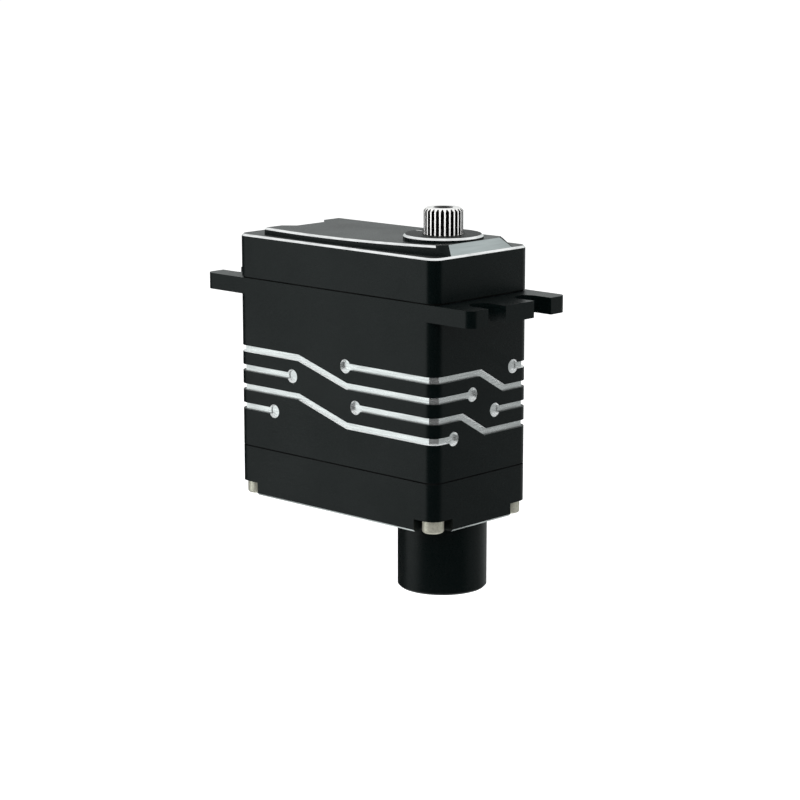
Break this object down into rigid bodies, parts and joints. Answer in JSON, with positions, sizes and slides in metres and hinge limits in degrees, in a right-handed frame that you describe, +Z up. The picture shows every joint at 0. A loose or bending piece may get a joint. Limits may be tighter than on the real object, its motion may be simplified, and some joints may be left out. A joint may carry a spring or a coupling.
{
  "type": "waterproof servo",
  "caption": "Sealed rectangular servo with a splined output shaft, slotted mounting lugs, engraved circuit tracks and a round boss under the output axis.",
  "frame": {"origin": "on the output axis at the top face of the round boss, where the spline begins", "axes": "+Z up along the output shaft, +X to the end wall beside the shaft, Y across the case"},
  "size_m": [0.0554, 0.021, 0.0573],
  "materials": {
    "case_black": "black anodised, satin, with bare chamfers and tracks",
    "screw_steel": "stainless cap screws",
    "small_screws": "zinc-plated",
    "seal_rubber": "matt black rubber",
    "shaft_steel": "hardened steel",
    "gear_steel": "cut steel",
    "gear_brass": "cut brass",
    "bearing_steel": "ground steel",
    "motor_can": "nickel-plated steel",
    "motor_cap": "black moulded plastic",
    "terminal_copper": "tinned copper",
    "board_green": "green solder mask",
    "capacitor": "sleeved can"
  },
  "bodies": {
    "root": {"top_case": "case_black", "middle_case": "case_black", "bottom_cover": "case_black", "case_screws": "screw_steel", "top_gasket": "seal_rubber", "bottom_gasket": "seal_rubber", "rear_boss": "case_black", "rear_boss_nut": "small_screws", "rear_boss_seal": "seal_rubber", "cable_seal": "seal_rubber", "shaft_seal": "seal_rubber", "upper_bearing_outer": "bearing_steel", "lower_bearing_outer": "bearing_steel", "gear_axles": "shaft_steel", "motor_can": "motor_can", "motor_cap": "motor_cap", "motor_terminals": "terminal_copper", "motor_screws": "small_screws", "sensor_board": "board_green", "sensor_chip": "motor_cap", "circuit_board": "board_green", "board_components": "motor_cap", "board_capacitor": "capacitor", "board_screws": "small_screws"},
    "output": {"output_shaft": "shaft_steel", "output_gear": "gear_steel", "shaft_clip": "small_screws", "upper_bearing_inner": "bearing_steel", "lower_bearing_inner": "bearing_steel", "sensor_magnet": "motor_can"},
    "third_gear": {"third_gear": "gear_steel"},
    "second_gear": {"second_gear": "gear_steel"},
    "first_gear": {"first_gear": "gear_brass"},
    "motor_rotor": {"motor_shaft": "shaft_steel", "motor_pinion": "gear_brass"}
  },
  "joints": [
    {"name": "output_turn", "type": "hinge", "parent": "root", "child": "output", "pos_m": [0, 0, 0], "axis": [0, 0, 1], "range_deg": [-90, 90]},
    {"name": "third_gear_turn", "type": "hinge", "parent": "root", "child": "third_gear", "pos_m": [-0.00691, 0.0032, -0.01163], "axis": [0, 0, 1], "range_deg": [-222, 222]},
    {"name": "second_gear_turn", "type": "hinge", "parent": "root", "child": "second_gear", "pos_m": [-0.01173, -0.0019, -0.01163], "axis": [0, 0, 1], "range_deg": [-554, 554]},
    {"name": "first_gear_turn", "type": "hinge", "parent": "root", "child": "first_gear", "pos_m": [-0.01696, 0.0019, -0.01163], "axis": [0, 0, 1], "range_deg": [-1608, 1608]},
    {"name": "motor_turn", "type": "hinge", "parent": "root", "child": "motor_rotor", "pos_m": [-0.0233, 0, -0.01163], "axis": [0, 0, 1], "range_deg": [-5464, 5464]}
  ],
  "couplings": [
    {"joint": "third_gear_turn", "follows": "output_turn", "ratio": -2.4545},
    {"joint": "second_gear_turn", "follows": "output_turn", "ratio": 6.1364},
    {"joint": "first_gear_turn", "follows": "output_turn", "ratio": -17.851},
    {"joint": "motor_turn", "follows": "output_turn", "ratio": 60.694}
  ]
}
